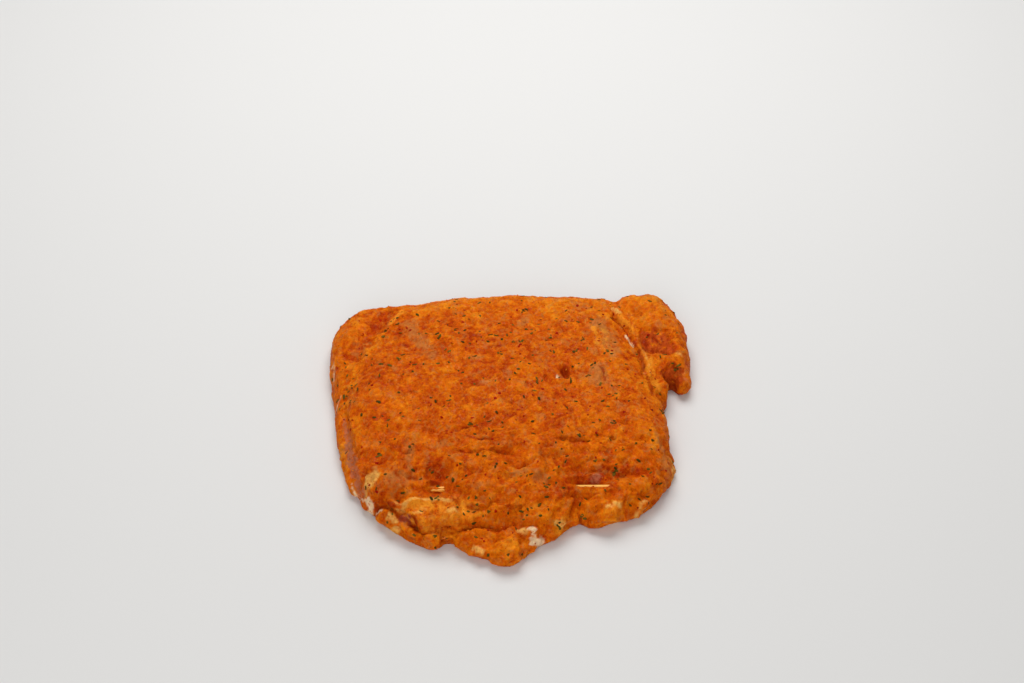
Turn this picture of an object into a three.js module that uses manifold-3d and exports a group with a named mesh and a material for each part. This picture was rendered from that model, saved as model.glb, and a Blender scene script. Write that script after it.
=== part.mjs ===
// A raw, marinated chicken cordon bleu: one boned and folded piece of chicken, pinned shut along its
// front edge by a wooden stick. Millimetres, +Z up, the front edge towards -Y, resting on Z = 0.
// The meat is built from lobes (a thick pouch, the layer under it, loose flaps and a rolled end),
// which are joined into one solid, trimmed flat where it rests, and pierced by the stick.
import * as THREE from 'three';
import { mergeVertices } from 'three/addons/utils/BufferGeometryUtils.js';
import Module from 'manifold-3d';

const { lerp, smoothstep } = THREE.MathUtils;
const wasm = await Module();
wasm.setup();

// Driving dimensions.
const pouchHeight = 17.5; // the thick middle, over the hidden filling
const backHeight = 14.2; // the pouch near its back edge
const shelfHeight = 12.6; // the layer under the pouch, where it shows at the back left
const underHeight = 8; // the same layer along the left side
const flapHeight = 9.4; // the loose flap in front of the stick
const flapRight = 11.2; // the same flap, past the stick's right end
const ridgeHeight = 12.4; // the ridge of fat beside the rolled end, at its back
const ridgeFront = 8.4; // the same ridge, at its front
const unevenness = 0.45; // height of the slow swells over the top
const sink = 3; // how far each lobe reaches below the resting face before the trim
const stickLength = 80;
const stickRadius = 1.1;
const stickTaper = 9; // length of each pointed end
const stickPoint = 0.33; // radius at the very tip
const stickHeight = 9.6; // centre line above the resting face
const stickMiddle = [6.5, -39.9];
const stickYaw = 0.018; // radians, the right end a little further back
const clearance = 0.3; // gap between the stick and the meat

// How finely the shapes are faceted.
const rowsBelowRim = 3;
const rowSpacing = 1.6; // over 1, a lobe's rows crowd towards its rim
const stickSides = 16;
const pocketSides = 20;
const trimSize = 400; // a block larger than the meat

// Gaussian bump of height 1 at (cx, cy).
const bump = (x, y, cx, cy, wide, deep) =>
  Math.exp(-(((x - cx) / wide) ** 2) - ((y - cy) / deep) ** 2);

// What the pouch's top loses to slopes, pinches and a furrow: depth, middle, and reach along X and Y.
const pouchDips = [
  [3.6, [-58, 42], 15, 26], // slopes down to the shelf at the back left
  [2.0, [-55, -20], 14, 22],
  [3.0, [-27, -36], 12, 13], // pinched above the stick, left
  [4.4, [34, -37], 18, 12], // pinched above the stick, right
  [3.6, [4, -53], 26, 14], // front of the hump between the two pinches
  [0.8, [-38, 8], 8, 30], // shallow furrow between two muscles
  [-0.8, [4, -24], 13, 9], // swells just behind the hump
];

// Height of the pouch's top before its edges round off.
function pouchTop(x, y) {
  let z = lerp(pouchHeight, backHeight, smoothstep(y, 15, 66));
  z -= 2.2 * smoothstep(x, 25, 60);
  for (const [depth, middle, wide, deep] of pouchDips) z -= depth * bump(x, y, ...middle, wide, deep);
  return z;
}

// The layer under the pouch is low along the left side and thicker at the back left.
const underTop = (x, y) => lerp(underHeight, shelfHeight, smoothstep(y, -10, 34));
const ridgeTop = (x, y) => lerp(ridgeFront, ridgeHeight, smoothstep(y, 14, 52));
const rollTop = (x, y) => lerp(12.4, 14.2, smoothstep(y, 30, 58));
const flapTop = (x) => lerp(flapHeight, flapRight, smoothstep(x, 31, 38));
const level = (height) => () => height;

// Wide shallow bowls pressed into the meat where the stick shows.
const bowls = [
  { middle: [-26.4, -39.6], floor: 9, rise: 10, wide: 6.4, deep: 8 },
  { middle: [29, -38.2], floor: 8.8, rise: 10, wide: 9.5, deep: 9 },
];

// The top of any lobe, a little uneven and pressed down by the bowls.
function restingTop(top, x, y) {
  const swell = Math.sin(x / 7.3 + 1.1) * Math.sin(y / 9.1) + 0.6 * Math.sin((x + y) / 5.2);
  let z = top(x, y) + unevenness * swell;
  for (const { middle, floor, rise, wide, deep } of bowls) {
    z = Math.min(z, floor + rise * (1 - bump(x, y, ...middle, wide, deep)));
  }
  return z;
}

// Each lobe has a closed outline through its points, seen from above and anticlockwise. edge is how
// far in from the outline the top keeps rising, rim the height at which the lobe is widest, tuck how
// far the outline draws in below the rim, and roundness the power of the edge's curve.
const lobes = {
  under: {
    outline: [
      [56, 60], [30, 67], [-5, 68], [-40, 65], [-60, 61.5], [-67, 55], [-70, 46], [-69.8, 30],
      [-67.8, 14], [-65.6, -4], [-62.9, -18], [-59.4, -30], [-53, -41], [-40, -47], [-10, -50],
      [25, -46], [48, -40], [55, -22], [54, 0], [55, 30],
    ],
    centre: [-4, 8], top: underTop, edge: 10, rim: 4, tuck: 2.5, roundness: 2.2, around: 68, rows: 8,
  },
  pouch: {
    outline: [
      [43, 65.4], [20, 68.6], [-8, 69.2], [-34, 65], [-47, 57], [-55, 42], [-61, 22], [-61.5, 2],
      [-59.5, -16], [-56.4, -30], [-52.4, -41], [-44, -46], [-34, -44.6], [-27, -43.6], [-20, -48],
      [-10, -53.6], [6, -55], [20, -51.6], [28, -45], [35, -39.5], [47, -36.5], [56, -31],
      [59.6, -18], [59.2, -2], [56.4, 12], [52.4, 26], [49, 39], [46, 52],
    ],
    centre: [-2, 12], top: pouchTop, edge: 15, rim: 7, tuck: 4, roundness: 2.2, around: 84, rows: 12,
  },
  fatLip: {
    outline: [
      [-21, -59.4], [-29.6, -58.4], [-36, -54.4], [-43, -49], [-46.6, -44], [-41, -39], [-28, -38],
      [-14, -42], [-10, -52],
    ],
    centre: [-28, -48], top: level(11), edge: 9, rim: 6, tuck: 2, roundness: 2, around: 36, rows: 5,
  },
  middleLobe: {
    outline: [
      [5, -59.5], [-1, -52], [-1, -42], [10, -36], [20, -38], [25.6, -42], [26.2, -46.5],
      [23, -51.4], [18, -56.4], [11.5, -60.6],
    ],
    centre: [13, -47], top: level(11.6), edge: 9, rim: 5.5, tuck: 2, roundness: 2, around: 34, rows: 5,
  },
  rightFlap: {
    outline: [
      [29, -52.2], [24.8, -49], [21.5, -40], [28, -32], [44, -26], [56, -18], [60, -25], [57, -33],
      [52.6, -41], [47, -46], [41, -48.4], [36.5, -49.6], [33, -51.4],
    ],
    centre: [41, -38], top: flapTop, edge: 10, rim: 4.2, tuck: 2, roundness: 2, around: 40, rows: 5,
  },
  leftTongue: {
    outline: [
      [-26, -62.6], [-31, -61.4], [-40.4, -55.2], [-49, -46.2], [-55, -38], [-46, -37], [-34, -45],
      [-24, -53], [-22.4, -58],
    ],
    centre: [-36, -50], top: level(7), edge: 6, rim: 3.4, tuck: 1.6, roundness: 2, around: 34, rows: 5,
  },
  middleTongue: {
    outline: [
      [-7, -67.2], [-13, -65.4], [-18, -62], [-20.6, -58], [-18, -50], [-8, -46], [-2, -50],
      [-2, -62],
    ],
    centre: [-11, -56], top: level(7.6), edge: 8, rim: 3.2, tuck: 1.6, roundness: 2, around: 28, rows: 5,
  },
  tongueTip: {
    outline: [
      [-0.5, -70.9], [-5, -69.4], [-9.4, -64], [-6, -52], [4, -47], [12, -52], [10.5, -59.6],
      [7, -65], [3.4, -68.9],
    ],
    centre: [1, -59], top: level(8.8), edge: 9, rim: 3.6, tuck: 1.8, roundness: 2, around: 30, rows: 5,
  },
  rolledEnd: {
    outline: [
      [58, 71], [50, 71], [42, 68], [42, 58], [48, 44], [53, 31], [61, 28], [68.6, 33],
      [69.8, 45], [66.6, 59], [63, 66],
    ],
    centre: [57, 50], top: rollTop, edge: 14, rim: 6, tuck: 2.5, roundness: 2, around: 38, rows: 6,
  },
  rolledFront: {
    outline: [
      [69.9, 37], [66, 44], [57, 44], [52, 34], [53, 25], [57, 19.6], [62, 22.6], [67, 23.6],
      [69.8, 30],
    ],
    centre: [61, 33], top: level(11.6), edge: 10, rim: 5.5, tuck: 2, roundness: 2, around: 32, rows: 5,
  },
  curledTip: {
    outline: [[69.8, 26], [67, 31], [62.6, 29], [62.4, 24], [65.4, 19.4], [68.8, 20.8]],
    centre: [66, 25.5], top: level(8), edge: 4, rim: 4.2, tuck: 1.4, roundness: 2, around: 20, rows: 4,
  },
  fatRidge: {
    outline: [
      [44.6, 66.6], [41, 63], [44.6, 55], [48.8, 42], [52.8, 28.6], [55.4, 10], [59.4, 9.6],
      [61, 24], [59, 42], [53, 56],
    ],
    centre: [53.2, 38], top: ridgeTop, edge: 5, rim: 6, tuck: 1.5, roundness: 2, around: 40, rows: 5,
  },
  fatBit: {
    outline: [[61.9, -19], [59.6, -13.6], [56, -16], [55, -28], [58.6, -30], [61.2, -26.4]],
    centre: [58.6, -22.5], top: level(4.8), edge: 3, rim: 2.6, tuck: 1, roundness: 2, around: 22, rows: 3,
  },
};

// Where the stick shows, the meat stands clear of it: middle, and half lengths along X, Y and Z.
const pockets = [
  { middle: [-26.4, -39.4, 12.4], half: [3.4, 3.2, 3.6] },
  { middle: [29.2, -38.8, 12.6], half: [6.4, 3.6, 4] },
];

// A closed lobe: a sphere's grid of rows and columns laid out over the outline.
function lobeGeometry({ outline, centre, top, edge, rim, tuck, roundness, around, rows }) {
  const curve = new THREE.CatmullRomCurve3(outline.map(([x, y]) => new THREE.Vector3(x, y, 0)), true);
  const rimPoints = curve.getSpacedPoints(around);
  const geometry = new THREE.SphereGeometry(1, around, rows + rowsBelowRim);
  const position = geometry.getAttribute('position');
  const middle = new THREE.Vector3(...centre, 0);
  const place = new THREE.Vector3();
  for (let i = 0; i < position.count; i++) {
    const column = i % (around + 1);
    const row = Math.floor(i / (around + 1));
    const rimPoint = rimPoints[column % around];
    const reach = rimPoint.distanceTo(middle);
    const topShare = Math.min(row / rows, 1); // 0 in the middle of the top, 1 at the rim
    const underShare = Math.max(row - rows, 0) / (rowsBelowRim - 1); // 0 at the rim, 1 at the lowest ring
    if (underShare === 0) {
      const inset = row === 0 ? reach : reach * (1 - topShare) ** rowSpacing;
      const rise = Math.min(inset / Math.min(edge, reach), 1);
      const share = (1 - (1 - rise) ** roundness) ** (1 / roundness);
      if (row === 0) place.copy(middle);
      else place.lerpVectors(rimPoint, middle, inset / reach);
      place.z = lerp(rim, restingTop(top, place.x, place.y), share);
    } else if (underShare <= 1) {
      place.lerpVectors(rimPoint, middle, (tuck / reach) * (1 - Math.sqrt(1 - underShare ** 2)));
      place.z = lerp(rim, -sink, underShare);
    } else {
      place.copy(middle).setZ(-sink);
    }
    position.setXYZ(i, place.x, place.y, place.z);
  }
  return geometry;
}

// three.js geometry to a manifold-3d solid, facing out whichever way its grid ran.
function solidOf(geometry) {
  const bare = geometry.clone();
  bare.deleteAttribute('normal');
  bare.deleteAttribute('uv');
  const merged = mergeVertices(bare, 1e-4);
  const vertProperties = merged.getAttribute('position').array;
  const triVerts = new Uint32Array(merged.index.array);
  const solid = new wasm.Manifold(new wasm.Mesh({ numProp: 3, vertProperties, triVerts }));
  if (solid.volume() > 0) return solid;
  triVerts.reverse();
  return new wasm.Manifold(new wasm.Mesh({ numProp: 3, vertProperties, triVerts }));
}

function geometryOf(solid) {
  const { numProp, vertProperties, triVerts } = solid.getMesh();
  const geometry = new THREE.BufferGeometry();
  const positions = new Float32Array((vertProperties.length / numProp) * 3);
  for (let i = 0; i < positions.length / 3; i++) {
    for (let k = 0; k < 3; k++) positions[3 * i + k] = vertProperties[numProp * i + k];
  }
  geometry.setAttribute('position', new THREE.BufferAttribute(positions, 3));
  geometry.setIndex(new THREE.BufferAttribute(new Uint32Array(triVerts), 1));
  geometry.computeVertexNormals();
  return geometry;
}

// A round stick with two pointed ends, laid through the meat.
function stickGeometry(radius, length) {
  const half = length / 2;
  const profile = [
    [0, -half], [stickPoint, -half], [radius, -half + stickTaper], [radius, half - stickTaper],
    [stickPoint, half], [0, half],
  ];
  const geometry = new THREE.LatheGeometry(profile.map(([r, l]) => new THREE.Vector2(r, l)), stickSides);
  geometry.rotateZ(-Math.PI / 2);
  geometry.rotateZ(stickYaw);
  geometry.translate(...stickMiddle, stickHeight);
  return geometry;
}

function pocketGeometry({ middle, half }) {
  const geometry = new THREE.SphereGeometry(1, pocketSides, pocketSides / 2);
  geometry.scale(...half);
  geometry.translate(...middle);
  return geometry;
}

function meatSolid() {
  const pieces = Object.values(lobes).map((lobe) => solidOf(lobeGeometry(lobe)));
  const belowRest = new THREE.BoxGeometry(trimSize, trimSize, trimSize).translate(0, 0, -trimSize / 2);
  let meat = pieces.reduce((joined, piece) => joined.add(piece)).subtract(solidOf(belowRest));
  for (const pocket of pockets) meat = meat.subtract(solidOf(pocketGeometry(pocket)));
  return meat.subtract(solidOf(stickGeometry(stickRadius + clearance, stickLength + 2 * clearance)));
}

const marinade = new THREE.MeshStandardMaterial({ color: 0xc85a14, roughness: 0.42, metalness: 0 });
const wood = new THREE.MeshStandardMaterial({ color: 0xe8b066, roughness: 0.6, metalness: 0 });

const chicken = new THREE.Mesh(geometryOf(meatSolid()), marinade);
chicken.name = 'chicken';
const stick = new THREE.Mesh(stickGeometry(stickRadius, stickLength), wood);
stick.name = 'stick';

// The origin is the middle of the resting face's bounding box.
const cordonBleu = new THREE.Group();
cordonBleu.add(chicken, stick);
const box = new THREE.Box3().setFromObject(cordonBleu, true);
const middleOfBox = box.getCenter(new THREE.Vector3());
for (const mesh of [chicken, stick]) mesh.geometry.translate(-middleOfBox.x, -middleOfBox.y, -box.min.z);

export default cordonBleu;
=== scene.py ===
import math

import bmesh
import bpy
import numpy as np
from mathutils import Matrix, Vector, noise


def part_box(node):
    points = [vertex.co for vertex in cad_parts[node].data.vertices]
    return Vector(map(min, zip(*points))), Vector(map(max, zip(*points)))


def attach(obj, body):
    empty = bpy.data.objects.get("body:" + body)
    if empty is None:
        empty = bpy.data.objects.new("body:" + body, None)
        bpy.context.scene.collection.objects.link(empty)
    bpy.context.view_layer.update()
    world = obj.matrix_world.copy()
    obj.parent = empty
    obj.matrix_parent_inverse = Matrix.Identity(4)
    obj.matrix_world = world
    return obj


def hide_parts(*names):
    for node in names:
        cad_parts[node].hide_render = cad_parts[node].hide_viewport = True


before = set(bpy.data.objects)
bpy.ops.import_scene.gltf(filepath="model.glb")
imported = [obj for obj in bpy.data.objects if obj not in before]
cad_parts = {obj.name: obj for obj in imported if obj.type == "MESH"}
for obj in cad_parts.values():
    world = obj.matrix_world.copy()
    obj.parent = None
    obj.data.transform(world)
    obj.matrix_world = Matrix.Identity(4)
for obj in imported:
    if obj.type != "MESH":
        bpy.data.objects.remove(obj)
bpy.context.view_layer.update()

mm = 0.001
scene = bpy.context.scene
rng = np.random.default_rng(41)


# ---- camera, floor and light

view = {
    "pitch": 41,  # degrees below level, looking along +Y
    "place": (0.93, -587.47, 555.87),  # mm
    "focalPixels": 2130,
    "imageWidth": 1024,
}

studio = {
    "floorColour": (222, 221, 219),
    "floorReach": 3,  # metres to each side
    "skyStrength": 0.285,
    "panels": {  # power in watts, size and place in metres
        "keyPanel": (4.2, (0.6, 0.45), (0.0, 0.4, 0.6)),  # above and a little behind
        "fillPanel": (2.95, (0.6, 0.6), (-0.1, -0.7, 0.42)),  # from the front
    },
}


def linear(colour):
    # 0 to 255 as on a screen, to Blender's linear values
    shares = [c / 255 for c in colour]
    return tuple(s / 12.92 if s < 0.04045 else ((s + 0.055) / 1.055) ** 2.4 for s in shares) + (1,)


def setCamera():
    camera = bpy.data.objects.new("photoCamera", bpy.data.cameras.new("photoCamera"))
    camera.data.sensor_width = 36
    camera.data.lens = view["focalPixels"] * camera.data.sensor_width / view["imageWidth"]
    camera.data.clip_start = 0.05
    camera.location = [c * mm for c in view["place"]]
    camera.rotation_euler = (math.radians(90 - view["pitch"]), 0, 0)
    scene.collection.objects.link(camera)
    scene.camera = camera


def addPanel(name, power, size, place):
    light = bpy.data.lights.new(name, "AREA")
    light.energy = power
    light.shape = "RECTANGLE"
    light.size, light.size_y = size
    panel = bpy.data.objects.new(name, light)
    panel.location = place
    panel.rotation_euler = (Vector() - Vector(place)).to_track_quat("-Z", "Y").to_euler()
    scene.collection.objects.link(panel)


# ---- shader building

class Value:
    # one output of a node, which can be added, multiplied and so on
    def __init__(self, look, output):
        self.look = look
        self.output = output

    def sum(self, operation, first, second=0.0):
        return self.look.node("ShaderNodeMath", {"operation": operation}, {0: first, 1: second})

    def __add__(self, other):
        return self.sum("ADD", self, other)

    def __sub__(self, other):
        return self.sum("SUBTRACT", self, other)

    def __rsub__(self, other):
        return self.sum("SUBTRACT", other, self)

    def __mul__(self, other):
        return self.sum("MULTIPLY", self, other)

    def __abs__(self):
        return self.sum("ABSOLUTE", self)

    __radd__ = __add__
    __rmul__ = __mul__


class Look:
    # a material and its node tree
    def __init__(self, name):
        self.material = bpy.data.materials.new(name)
        self.material.use_nodes = True
        self.tree = self.material.node_tree
        self.shader = self.tree.nodes["Principled BSDF"]

    def node(self, kind, settings=None, inputs=None, output=0):
        # settings first, then the values or links of the inputs, by number or name
        made = self.tree.nodes.new(kind)
        for key, value in (settings or {}).items():
            if key == "stops":
                self.setStops(made.color_ramp, value)
            else:
                setattr(made, key, value)
        for key, value in (inputs or {}).items():
            self.feed(made.inputs[key], value)
        return Value(self, made.outputs[output])

    def feed(self, socket, value):
        if isinstance(value, Value):
            self.tree.links.new(value.output, socket)
        else:
            socket.default_value = value

    def setStops(self, ramp, stops):
        while len(ramp.elements) < len(stops):
            ramp.elements.new(1)
        for element, (position, colour) in zip(ramp.elements, stops):
            element.position = position
            element.color = linear(colour)

    def painted(self, name):
        # a value stored on the mesh's points
        return self.node("ShaderNodeAttribute", {"attribute_name": name}, output="Fac")

    def place(self):
        return self.node("ShaderNodeTexCoord", output="Object")

    def grain(self, place, size, detail=2.0, distortion=0.0, rough=0.5):
        # noise with lumps of that size in mm, 0 to 1 about 0.5
        inputs = {"Vector": place, "Scale": 1 / (size * mm), "Detail": detail,
                  "Roughness": rough, "Distortion": distortion}
        return self.node("ShaderNodeTexNoise", {}, inputs)

    def threads(self, place, size, detail, distortion, width):
        # thin wandering lines, 1 in their middle
        return self.ramp(abs(self.grain(place, size, detail, distortion, 0.6) - 0.5), width, 0.0)

    def ramp(self, value, low, high):
        # 0 below low, 1 above high, smooth between
        settings = {"interpolation_type": "SMOOTHSTEP"}
        return self.node("ShaderNodeMapRange", settings, {"Value": value, 1: low, 2: high})

    def blend(self, mask, below, above):
        # mixes two colours, each a link or three numbers of 0 to 255
        below, above = (c if isinstance(c, Value) else linear(c) for c in (below, above))
        return self.node("ShaderNodeMix", {"data_type": "RGBA"}, {0: mask, 6: below, 7: above}, output=2)

    def bump(self, height, distance, strength, under=None):
        inputs = {"Height": height, "Distance": distance * mm, "Strength": strength}
        if under is not None:
            inputs["Normal"] = under
        return self.node("ShaderNodeBump", {}, inputs)

    def finish(self, **sockets):
        for name, value in sockets.items():
            spaced = "".join(" " + c if c.isupper() else c for c in name).strip()
            self.feed(self.shader.inputs[spaced], value)
        return self.material


# ---- shape helpers, on arrays of points in mm

def lumps(points, size, seed, octaves=1):
    # smooth noise, about -1 to 1, with lumps of that size
    scale = np.broadcast_to(np.asarray(size, float), 3)
    moved = points / scale + np.array([17.3, -9.1, 5.7]) * seed
    return np.array([noise.fractal(Vector(p), 1.0, 2.0, octaves) for p in moved])


def drift(points, size, seed):
    # a smooth shift in all three directions, about -1 to 1
    return np.stack([lumps(points, size, seed + apart) for apart in (61, 67, 71)], axis=1)


def pebbles(points, size, seed):
    # round grains: 1 at a grain's middle, 0 between grains
    moved = points / size + np.array([3.1, 7.7, -5.3]) * seed
    near = np.array([noise.voronoi(Vector(p))[0][0] for p in moved])
    return np.clip(1 - near * 1.5, 0, 1)


def soft(value, low, high):
    share = np.clip((value - low) / (high - low), 0, 1)
    return share * share * (3 - 2 * share)


def fromLine(points, line):
    # distance from a line and the share along it; a line of x and y alone is met from above
    corners = np.asarray(line, float)
    places = points[:, :corners.shape[1]]
    spans = np.linalg.norm(np.diff(corners, axis=0), axis=1)
    before = np.concatenate([[0], np.cumsum(spans)])
    best = np.full(len(points), 1e9)
    share = np.zeros(len(points))
    for i, (start, end) in enumerate(zip(corners, corners[1:])):
        way = end - start
        at = np.clip((places - start) @ way / (way @ way), 0, 1)
        far = np.linalg.norm(places - start - at[:, None] * way, axis=1)
        nearer = far < best
        best = np.where(nearer, far, best)
        share = np.where(nearer, (before[i] + at * spans[i]) / before[-1], share)
    return best, share


def stripe(points, line, width, taper=0.15):
    # 1 on the line, falling to the sides and at both ends
    far, share = fromLine(points, line)
    ends = np.minimum(soft(share, -0.01, taper), soft(1 - share, -0.01, taper))
    return np.exp(-(far / width) ** 2) * ends


def within(points, outline, fade):
    # 1 inside a closed outline seen from above, falling to 0 over the fade round it
    closed = outline + outline[:1]
    inside = np.zeros(len(points), bool)
    for (ax, ay), (bx, by) in zip(closed, closed[1:]):
        between = (ay > points[:, 1]) != (by > points[:, 1])
        inside ^= between & (points[:, 0] < ax + (points[:, 1] - ay) * (bx - ax) / (by - ay + 1e-9))
    return np.where(inside, 1, np.exp(-(fromLine(points, closed)[0] / fade) ** 2))


def spot(points, x, y, long, wide, turn=0.0, z=None, tall=3.0):
    # 1 in the middle of an oval patch, turned by degrees, falling outwards
    angle = math.radians(turn)
    dx, dy = points[:, 0] - x, points[:, 1] - y
    along = dx * math.cos(angle) + dy * math.sin(angle)
    across = dy * math.cos(angle) - dx * math.sin(angle)
    reach = (along / long) ** 2 + (across / wide) ** 2
    if z is not None:
        reach = reach + ((points[:, 2] - z) / tall) ** 2
    return np.exp(-reach)


def readPoints(mesh):
    flat = np.empty(len(mesh.vertices) * 3)
    mesh.vertices.foreach_get("co", flat)
    return flat.reshape(-1, 3) / mm


def readNormals(mesh):
    flat = np.empty(len(mesh.vertices) * 3)
    mesh.vertex_normals.foreach_get("vector", flat)
    return flat.reshape(-1, 3)


def writePoints(mesh, points):
    mesh.vertices.foreach_set("co", (points * mm).ravel())
    mesh.update()


def paint(mesh, name, values):
    layer = mesh.attributes.new(name, "FLOAT", "POINT")
    layer.data.foreach_set("value", np.asarray(values, np.float32))


def applyAll(piece):
    # the modifiers' result becomes the piece's own mesh
    evaluated = piece.evaluated_get(bpy.context.evaluated_depsgraph_get())
    mesh = bpy.data.meshes.new_from_object(evaluated)
    piece.modifiers.clear()
    piece.data = mesh


def dress(mesh, material):
    # gives a mesh its one material and smooth shading
    mesh.materials.clear()
    mesh.materials.append(material)
    for polygon in mesh.polygons:
        polygon.use_smooth = True


def newPiece(name, mesh, material):
    piece = bpy.data.objects.new(name, mesh)
    dress(mesh, material)
    scene.collection.objects.link(piece)
    return piece


# ---- the meat

meat = {
    "voxel": 1.05,  # mm, of the first skin over the facets
    "settle": 12,  # rounds of smoothing on it
    "plug": 1.9,  # mm, radius of what fills the stick's channel
    "rest": 0.35,  # mm, what is lower is pressed flat
    "swell": 0.12,  # mm, gives back what the smoothing takes
    "slowSwells": 0.4,  # mm, swells about 15 mm across
    "dents": 0.42,  # mm, about 6 mm across
    "folds": 1.3,  # mm, broad soft folds of the front half
    "pasteSmears": 0.42,  # mm, the smeared paste's ridges
    "pastePatches": 0.22,  # mm, thickness of the thicker patches
    "pasteGrains": 0.14,  # mm, round grains in it
    "knobs": 1.5,  # mm, on the loose flaps and the rolled end
    "frays": 0.7,  # mm, on the outline of the front
    "cover": 0.6,  # mm, over the stick where it is hidden
    "pocket": 9,  # mm, height of the hollows where it shows
    "colours": {  # 0 to 255; a pair is darker, then lighter
        "orange": [(0.0, (164, 44, 0)), (0.25, (194, 68, 0)), (0.5, (217, 94, 0)), (0.75, (234, 116, 4)),
                   (1.0, (244, 142, 24))],
        "redder": (190, 48, 0),
        "yellower": (236, 134, 26),
        "bare": (204, 126, 60),
        "film": [(184, 92, 32), (216, 136, 66)],
        "fat": [(236, 112, 4), (255, 176, 50)],
        # painted highlight along edges that catch the light
        "brightEdge": (252, 148, 34),
        "paleFat": (255, 194, 100),
        "rawFlesh": [(180, 88, 56), (214, 136, 98)],
        "redMuscle": [(150, 38, 6), (202, 80, 24)],
        "sinew": (255, 218, 172),
        # redder paste in creases and hollows, darkened further as painted shade
        "deepRed": (146, 28, 0),
        "specks": (140, 22, 2),
    },
}

# where the stick shows, in mm: x from and to, y, the meat's height before and behind it there,
# and how far the meat draws back before and behind it
bareStretches = [
    (-28.8, -24.0, -40.7, 9.0, 10.6, 2.4, 1.4),
    (24.4, 35.0, -39.6, 9.8, 9.7, 1.3, 2.2),
]

# the solid model's wide recesses over the stick are filled first, then opened again more narrowly
pocketFillers = [((-26.4, -38.6, 9.8), (5.4, 4.6, 3.0)), ((29.3, -37.4, 9.8), (8.8, 5, 2.6))]

# lines and outlines on the meat in mm: x and y, as seen from above, and a height where they run down a side
wingRidge = [(-41.4, 57.2), (-44.3, 50.4), (-46.8, 44.8), (-51.2, 37.5), (-55.7, 27.9), (-59.3, 22.2),
             (-62.2, 17.8)]
wingHollow = [(-46.5, 60), (-50, 52.5), (-54, 44), (-59, 34), (-64, 24)]
leftStep = [(-63.4, 4), (-61.7, -5.4), (-60.2, -12.5), (-58.7, -18.7), (-57.4, -25.5), (-56.6, -30),
            (-54, -38.4), (-51.4, -42.6)]
leftStepTop = [(-60.2, 3), (-58.9, -6), (-57.2, -14), (-55.2, -23), (-53.2, -31), (-51, -37.5)]
wineCleft = [(-49.6, -43.6), (-46.6, -46), (-42.4, -49.2), (-39.2, -51.7), (-36.2, -54), (-32, -57.6)]
lipLowEdge = [(-36.2, -54), (-34, -56.6), (-30.4, -59), (-25.4, -59.6), (-20.4, -58.8), (-16.9, -57.6)]
lipRidge = [(-43.7, -46.2), (-40, -48.9), (-37.1, -48.8), (-34.3, -47.6), (-28.6, -46.7), (-23.2, -46.6),
            (-18.5, -47.4)]
lipSecondRidge = [(-25.4, -52), (-21.2, -52.9), (-18.4, -53)]
humpCrease = [(-19.4, -58.6), (-14, -57), (-7.6, -57.3), (-1.4, -58.2), (2.7, -58.2), (5.2, -57.4),
              (8.8, -57.9), (10.4, -59.6), (13, -60.3), (16, -58.6)]
tongueGap = [(-24, -63.5), (-22.6, -60.6), (-21.4, -58.9)]
pressedCrease = [(-5.6, -30.4), (-1.6, -32.2), (0.9, -34.1), (3.8, -34.9), (7.5, -33.2), (11.1, -31.4)]
longCreases = [
    [(-17.5, -19.6), (-14.5, -20.4), (-10.8, -21.6), (-7.1, -22.3), (-3, -21.8)],
    [(-21.5, -18.4), (-17.5, -16.6), (-12.7, -15.4), (-8.6, -13.3)],
    [(-21.7, -26.4), (-14.4, -28.2), (-8.9, -27.4), (-3.4, -29.2), (1, -28.4)],
    [(13.6, -22.4), (19, -21.2), (24.6, -22.8), (30, -22.2)],
    [(-18, -49.6), (-10, -51.6), (-4, -50.4), (3, -52), (9, -50)],
    [(30.6, -18.6), (36, -20.2), (41.4, -18.6)],
]
rollCrease = [(39, 58.4), (41.2, 51.6), (44.6, 46.4), (47.7, 40.2), (49.8, 34.5), (51.4, 27.8),
              (52.6, 19), (54.2, 11.4), (55.4, 5)]
rollRidge = [(40.8, 60), (42.4, 55), (44.8, 50.2), (47.6, 45.9), (49.8, 41.2), (51.8, 34.1), (53.4, 27.2),
             (54.7, 20), (56.2, 11.4)]
lensCrease = [(33.4, 19.4), (35.2, 17.6), (35.6, 13.2), (35.4, 8.6)]
rollUpperRim = [(50.6, 44.6), (55, 45.4), (60, 44.2), (63.6, 39)]
filmStreak = [(-40.6, 51), (-38, 42), (-34.7, 34.9), (-31.7, 28.2), (-29.6, 20)]
wingStreak = [(-42, 56.6), (-43.6, 53.6), (-45.6, 50.2), (-47.4, 46.4)]
rimTendon = [(-52.4, -42.2), (-50.5, -44.2), (-48.6, -46.2), (-46.7, -47.7), (-45.4, -48.8)]
rimSinew = [(-58.6, -31), (-57.4, -34.4), (-55.4, -38.2), (-53.2, -41.4), (-51.4, -43.4)]
rightFilm = [(34.3, 51.3), (36.9, 44.9), (39, 37.8), (40.2, 28.8), (39.1, 21.2)]
rollCream = [(40.2, 58.2), (42.2, 56.2), (44.4, 53.8)]
flapCream = [(33, -48.6), (35.4, -48.8), (38.4, -48.2), (40.6, -48.4)]
leftMauve = [(-61.4, -13), (-60, -18), (-58.6, -23.4), (-57, -30)]
tongueTendon = [(7, -62.6, 6.4), (8.8, -61.9, 5.5), (10.9, -60.8, 3.4), (13.5, -59.8, 1.4)]
tongueTendonTop = [(7, -58.6, 9.1), (8, -59.6, 8.6), (9.3, -60.4, 7.6)]
tongueIsland = [(4.6, -61.6, 8), (8.2, -61, 6.6), (11.3, -60.6, 5)]
tongueCream = [(2.4, -58.7, 9), (4.8, -59.9, 8.4), (6.6, -60.6, 7.6)]
tongueEdge = [(-4.6, -64.4, 8), (-0.5, -67.6, 7.3), (2, -68.5, 6.2), (4.8, -67.9, 3.5)]
tonguePatch = [(-13.6, -64.7, 4.8), (-11.1, -66, 4.6), (-8.6, -67.2, 3.8)]
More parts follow.
